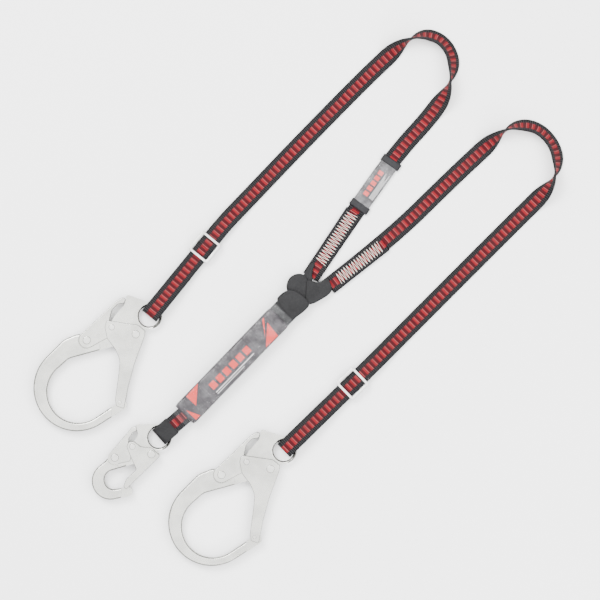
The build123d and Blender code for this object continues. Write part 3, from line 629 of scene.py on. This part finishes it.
# ------------------------------------------------------------------ adjusters
def make_tail(side_name, eye, angle, adjuster_at, seed):
    """Webbing sewn round the middle bar, and its stitches."""
    centre = ahead(eye, angle, adjuster_at)
    body = f"{side_name}_adjuster"
    steps = [(-0.082, 0.00365), (-0.060, 0.00365), (-0.034, 0.00365), (-0.014, 0.00105), (-0.002, 0.00105),
             (0.00235, 0.00115), (0.00235, 0.00565), (-0.002, 0.00575), (-0.020, 0.00575), (-0.042, 0.00575)]
    tail = band(f"{side_name}_tail", side_points(centre, angle, steps), WEB_WIDTH - 0.0006, TAIL_THICK,
                WEBBING, body, angle, u_start=0.002)
    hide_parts(f"{side_name}_tail_webbing")
    begin = ahead(centre, angle, -0.037)
    lines = [zigzag(begin, angle, 0.020, 0.0085, 0.00620, 0.0040, random.Random(seed))]
    made = thread(f"{side_name}_tail_thread", lines, 0.0002, body)
    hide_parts(f"{side_name}_tail_stitches")


make_tail("left", LEFT_EYE, LEFT_STRAP_ANGLE, LEFT_ADJUSTER_AT, 21)
make_tail("right", RIGHT_EYE, RIGHT_STRAP_ANGLE, RIGHT_ADJUSTER_AT, 22)


# ------------------------------------------------------------------ loops at the absorber
reach = hypot(COVER_START[0] - SNAP_EYE[0], COVER_START[1] - SNAP_EYE[1])
bend = HOOK_Z - SLEEVE_THICK - WEB_THICK / 2 - 0.0001
low_z, high_z = HOOK_Z - bend, HOOK_Z + bend
front = WEB_THICK / 2 + SLEEVE_THICK
steps = [(reach + 0.006, low_z + 0.0039), (0.036, low_z + 0.0039), (0.024, low_z), (0.012, low_z),
         (front + 0.002, low_z + 0.0003), (front, low_z + 0.003), (front, HOOK_Z), (front, high_z - 0.003),
         (front + 0.002, high_z - 0.0003), (0.012, high_z), (0.026, high_z - 0.0004),
         (reach + 0.006, high_z - 0.0026)]
loop = band("hook_end_loop_band", side_points(SNAP_EYE, SNAP_STRAP_ANGLE, steps), WEB_WIDTH, WEB_THICK,
            WEBBING, angle=SNAP_STRAP_ANGLE)
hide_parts("hook_end_loop")
skin = bend + WEB_THICK / 2 + SLEEVE_THICK / 2
near = front - WEB_THICK / 2 - SLEEVE_THICK / 2 - 0.00002
steps = [(0.022, HOOK_Z - skin), (0.010, HOOK_Z - skin), (near + 0.002, HOOK_Z - skin + 0.0004),
         (near, HOOK_Z - skin + 0.003), (near, HOOK_Z), (near, HOOK_Z + skin - 0.003),
         (near + 0.002, HOOK_Z + skin - 0.0004), (0.010, HOOK_Z + skin), (0.018, HOOK_Z + skin),
         (0.026, HOOK_Z + skin)]
sleeve = band("hook_end_sleeve", side_points(SNAP_EYE, SNAP_STRAP_ANGLE, steps), WEB_WIDTH + 0.0022,
              SLEEVE_THICK, BLACK_SLEEVE, angle=SNAP_STRAP_ANGLE, ribs=False)
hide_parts("hook_end_wear_sleeve")

LOOP_BAND_WIDTH = 0.0356
far_end = ahead(COVER_START, ABSORBER_ANGLE, COVER_LENGTH)
steps = [(-0.004, 0.0070), (0.008, 0.0066), (0.016, 0.0026), (0.027, 0.0024), (0.0335, 0.0026),
         (0.0362, 0.0045), (0.0366, 0.0078), (0.0362, 0.0112), (0.0335, 0.0134), (0.027, 0.0142),
         (0.014, 0.0152), (-0.004, 0.0160)]
loop = band("leg_end_loop_band", side_points(far_end, ABSORBER_ANGLE, steps), LOOP_BAND_WIDTH, WEB_THICK,
            GREY_SLEEVE, angle=ABSORBER_ANGLE, ribs=False)
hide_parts("leg_end_loop")


# ------------------------------------------------------------------ yoke sleeves
def soft_patch(name, outline, height, thickness, tilt, bevel, crown):
    """A rounded, slightly crowned piece of sleeve fabric: an outline in plan, tilted and softly bulged."""
    data = bpy.data.curves.new(name, "CURVE")
    data.dimensions = "2D"
    data.fill_mode = "BOTH"
    data.extrude = max(0.0001, thickness / 2 - bevel)
    data.bevel_depth = bevel
    data.bevel_resolution = 3
    data.resolution_u = 10
    spline = data.splines.new("NURBS")
    spline.points.add(len(outline) - 1)
    middle = Vector((sum(p[0] for p in outline) / len(outline), sum(p[1] for p in outline) / len(outline), 0))
    for control, point in zip(spline.points, outline):
        control.co = (point[0] - middle.x, point[1] - middle.y, 0.0, 1.0)
    spline.order_u = 3
    spline.use_cyclic_u = True
    data.offset = -bevel
    holder = bpy.data.objects.new(name + "_outline", data)
    bpy.context.collection.objects.link(holder)
    remesh = holder.modifiers.new("even", "REMESH")
    remesh.mode = "VOXEL"
    remesh.voxel_size = 0.0006
    bpy.context.view_layer.update()
    mesh = bpy.data.meshes.new_from_object(holder.evaluated_get(bpy.context.evaluated_depsgraph_get()))
    bpy.data.objects.remove(holder)
    far = max(hypot(vertex.co.x, vertex.co.y) for vertex in mesh.vertices)
    for vertex in mesh.vertices:
        x, y, z = vertex.co
        rise = crown * (1 - (hypot(x, y) / far) ** 2)
        vertex.co = in_row((x + middle.x, y + middle.y), height + z + rise + tilt[0] * x + tilt[1] * y)
    mesh.update()
    return mesh


left_lobe = [(-0.0275, 0.004), (-0.0245, 0.0175), (-0.0170, 0.0245), (-0.0060, 0.0265), (0.0030, 0.0215),
             (0.0050, 0.0100), (0.0030, -0.0060), (-0.0020, -0.0150), (-0.0180, -0.0120)]
right_fold = [(0.0000, -0.0180), (0.0010, -0.0020), (0.0020, 0.0160), (0.0060, 0.0180), (0.0180, 0.0115),
              (0.0310, 0.0215), (0.0375, 0.0110), (0.0385, -0.0010), (0.0240, -0.0105), (0.0110, -0.0180)]
left_neck = [(-0.0050, 0.0200), (0.0020, 0.0310), (0.0100, 0.0425), (0.0150, 0.0400), (0.0115, 0.0320),
             (0.0100, 0.0240), (0.0110, 0.0140), (0.0060, 0.0060), (0.0, 0.0080)]
loop_top = [(-0.0420, -0.0110), (-0.0330, -0.0020), (-0.0240, 0.0030), (-0.0140, 0.0020), (-0.0050, -0.0040),
            (0.0040, -0.0120), (0.0070, -0.0190), (0.0010, -0.0260), (-0.0080, -0.0330), (-0.0180, -0.0400),
            (-0.0300, -0.0270)]


def add_patch(name, outline, height, thickness, tilt, bevel=0.0011, crown=0.0008):
    mesh = soft_patch(name, outline, height, thickness, tilt, bevel, crown)
    return add_object(name, mesh, GREY_SLEEVE)


add_patch("end_loop_fold", loop_top, 0.0148, 0.0034, (0.01, 0.01), 0.0012, 0.0016)
lobe = add_patch("left_sleeve_lobe", left_lobe, 0.0098, 0.0048, (-0.04, 0.02))
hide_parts("left_leg_yoke_sleeve")
fold = add_patch("right_sleeve_fold", right_fold, 0.0092, 0.0052, (-0.10, 0.02))
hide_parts("right_leg_yoke_sleeve")
add_patch("left_sleeve_neck", left_neck, 0.0062, 0.0044, (-0.06, -0.04))


# ------------------------------------------------------------------ absorber
SQUARENESS = 7.0


def tube_mesh(name, stations, seed, ripple, ring=72):
    """A closed, slightly rippled tube of rounded-rectangle sections: stations of (x, width, height)."""
    vertices = []
    source = random.Random(seed)
    phases = [source.uniform(0, 2 * pi) for _ in range(8)]
    for x, width, height in stations:
        for number in range(ring):
            angle = 2 * pi * number / ring
            dx, dy = cos(angle), sin(angle)
            size = (abs(dx) ** SQUARENESS + abs(dy) ** SQUARENESS) ** (-1 / SQUARENESS)
            y, z = dx * size * width / 2, dy * size * height / 2
            wave = sum(sin((index + 2) * 11 * x + phases[index] + (index % 3) * angle * 2)
                       for index in range(5)) / 5
            shrink = 1 - ripple * (0.5 + 0.5 * wave)
            vertices.append((x, y * shrink, COVER_HEIGHT / 2 + z * shrink))
    faces = []
    last = len(stations) - 1
    for row in range(last):
        for number in range(ring):
            after = (number + 1) % ring
            faces.append((row * ring + number, row * ring + after,
                          (row + 1) * ring + after, (row + 1) * ring + number))
    faces.append(tuple(range(ring))[::-1])
    faces.append(tuple(last * ring + number for number in range(ring)))
    mesh = bpy.data.meshes.new(name)
    mesh.from_pydata(vertices, [], faces)
    mesh.update()
    return mesh


def add_laid(name, mesh, material, point, angle):
    """A piece made in its own straight frame, then laid at a place and a direction."""
    made = bpy.data.objects.new(name, mesh)
    bpy.context.collection.objects.link(made)
    mesh.materials.append(material)
    for face in mesh.polygons:
        face.use_smooth = True
    made.location = in_row(point)
    made.rotation_euler = (0, 0, radians(angle))
    bpy.context.view_layer.update()
    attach(made, ROOT)
    return made


steps = 90
label_stations = []
for step in range(steps + 1):
    x = 0.0035 + (COVER_LENGTH - 0.007) * step / steps
    edge = min(x - 0.0035, COVER_LENGTH - 0.0035 - x)
    soft = smoothstep(edge / 0.005)
    label_stations.append((x, 0.0378 - 0.0022 * (1 - soft), 0.0214 - 0.006 * (1 - soft)))
label = add_laid("absorber_print", tube_mesh("absorber_print", label_stations, 3, 0.012), LABEL,
                 COVER_START, ABSORBER_ANGLE)
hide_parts("absorber_label")

film_stations = []
for step in range(steps + 1):
    x = -0.006 + (COVER_LENGTH + 0.012) * step / steps
    edge = min(x, COVER_LENGTH - x)
    soft = smoothstep((edge + 0.0015) / 0.004)
    film_stations.append((x, 0.0376 + 0.0022 * soft, 0.0186 + 0.0050 * soft))
film = add_laid("absorber_film", tube_mesh("absorber_film", film_stations, 5, 0.008), FILM,
                COVER_START, ABSORBER_ANGLE)
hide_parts("absorber_cover")


# ------------------------------------------------------------------ label pouch
POUCH_START = (0.0745, 0.1170)
POUCH_ANGLE = 54.4
POUCH_LENGTH = 0.087
POUCH_WIDTH = 0.029
HEM_LENGTH = 0.0104
HEM_WIDTH = 0.030
POUCH_MIDDLE = ahead(POUCH_START, POUCH_ANGLE, POUCH_LENGTH / 2)


def slab_mesh(name, length, width, low, high, crown=0.0, columns=40, lines=16, seed=1, wave=0.0):
    """A soft flat piece: crowned on top, thinner at its rim."""
    source = random.Random(seed)
    phases = [source.uniform(0, 2 * pi) for _ in range(6)]
    top, bottom = [], []
    for column in range(columns + 1):
        for line in range(lines + 1):
            a, b = 2 * column / columns - 1, 2 * line / lines - 1
            rim = (1 - abs(a) ** 10) * (1 - abs(b) ** 8)
            x, y = a * length / 2, b * width / 2
            ripple = wave * sum(sin(90 * (index + 1) * (x * cos(index) + y * sin(index)) + phases[index])
                                for index in range(6)) / 6
            thick = (high - low) * (0.35 + 0.65 * rim) + crown * rim * (1 - b * b) + ripple * rim
            top.append((x, y, low + thick))
            bottom.append((x, y, low))
    vertices = top + bottom
    faces = []
    wide = lines + 1
    total = len(top)
    for column in range(columns):
        for line in range(lines):
            here = column * wide + line
            faces.append((here, here + wide, here + wide + 1, here + 1))
            faces.append((total + here + 1, total + here + wide + 1, total + here + wide, total + here))
    rim_loop = [column * wide for column in range(columns + 1)]
    rim_loop += [columns * wide + line for line in range(1, wide)]
    rim_loop += [column * wide + lines for column in range(columns - 1, -1, -1)]
    rim_loop += [line for line in range(lines - 1, 0, -1)]
    for here, after in zip(rim_loop, rim_loop[1:] + rim_loop[:1]):
        faces.append((here, total + here, total + after, after))
    mesh = bpy.data.meshes.new(name)
    mesh.from_pydata(vertices, [], faces)
    mesh.update()
    return mesh


pouch_z = WEB_THICK + LAYER_GAP
mesh = slab_mesh("pouch_card", POUCH_LENGTH - 0.012, POUCH_WIDTH - 0.004, pouch_z + 0.0008, pouch_z + 0.0016,
                 0.0004)
card = add_laid("pouch_card", mesh, CARD, POUCH_MIDDLE, POUCH_ANGLE)
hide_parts("label_card")
mesh = slab_mesh("pouch_window", POUCH_LENGTH - 0.010, POUCH_WIDTH, pouch_z, pouch_z + 0.0026, 0.0006,
                 wave=0.0005, seed=8)
pouch = add_laid("pouch_window", mesh, POUCH_FILM, POUCH_MIDDLE, POUCH_ANGLE)
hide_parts("label_pouch")
for name, way in (("label_top_hem", 1), ("label_bottom_hem", -1)):
    centre = ahead(POUCH_MIDDLE, POUCH_ANGLE, way * (POUCH_LENGTH - HEM_LENGTH) / 2)
    mesh = slab_mesh(name, HEM_LENGTH, HEM_WIDTH, pouch_z - 0.0001, pouch_z + 0.0035, 0.0003, 16, 24)
    hem = add_laid(name + "_band", mesh, HEM, centre, POUCH_ANGLE)
    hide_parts(name)

# ------------------------------------------------------------------ finishes of the metal pieces
FINISHES = {"zinc_steel": ZINC, "rivet_steel": RIVET, "spring_steel": SPRING, "nickel_steel": NICKEL,
            "tear_webbing": TEAR, "cream_thread": THREAD}
for entry in frame["record"]["subparts"]:
    material = FINISHES.get(entry["material_slot"])
    if material:
        mesh = frame["nodes"][entry["node"]].data
        mesh.materials.clear()
        mesh.materials.append(material)

# ------------------------------------------------------------------ floor and light
FLOOR_HALF = 4
FLOOR_Z = -0.0003
floor_mesh = bpy.data.meshes.new("floor")
corners = [(x * FLOOR_HALF, y * FLOOR_HALF, FLOOR_Z) for x, y in ((-1, -1), (1, -1), (1, 1), (-1, 1))]
floor_mesh.from_pydata(corners, [], [(0, 1, 2, 3)])
floor = bpy.data.objects.new("floor", floor_mesh)
bpy.context.collection.objects.link(floor)
g = Graph("floor")
g.link(g.mix(g.noise(3, 2), (0.90, 0.90, 0.90, 1), (0.93, 0.93, 0.93, 1)), g.shader.inputs["Base Color"])
g.shader.inputs["Roughness"].default_value = 0.9
floor_mesh.materials.append(g.material)


def area_light(name, place, target, size, energy, size_y=None):
    data = bpy.data.lights.new(name, "AREA")
    data.energy = energy
    data.shape = "RECTANGLE"
    data.size = size
    data.size_y = size_y or size
    made = bpy.data.objects.new(name, data)
    made.location = place
    made.rotation_euler = (Vector(target) - Vector(place)).to_track_quat("-Z", "Y").to_euler()
    bpy.context.collection.objects.link(made)


area_light("key", (-0.9, 1.3, 2.2), (0.1, 0.05, 0), 1.2, 112)
area_light("fill", (1.6, 0.2, 2.0), (0.1, 0.05, 0), 1.4, 36)
area_light("strip", (0.9, -1.1, 0.9), (0.1, 0.05, 0), 1.6, 18, 0.25)

world = bpy.data.worlds.new("world")
bpy.context.scene.world = world
world.use_nodes = True
background = world.node_tree.nodes["Background"]
coordinate = world.node_tree.nodes.new("ShaderNodeTexCoord")
split = world.node_tree.nodes.new("ShaderNodeSeparateXYZ")
shade = world.node_tree.nodes.new("ShaderNodeValToRGB")
world.node_tree.links.new(coordinate.outputs["Generated"], split.inputs[0])
world.node_tree.links.new(split.outputs[2], shade.inputs[0])
world.node_tree.links.new(shade.outputs[0], background.inputs["Color"])
shade.color_ramp.elements[0].position = 0.42
shade.color_ramp.elements[0].color = (0.07, 0.07, 0.075, 1)
shade.color_ramp.elements[1].position = 0.80
shade.color_ramp.elements[1].color = (1.0, 1.0, 1.0, 1)
background.inputs["Strength"].default_value = 4.6
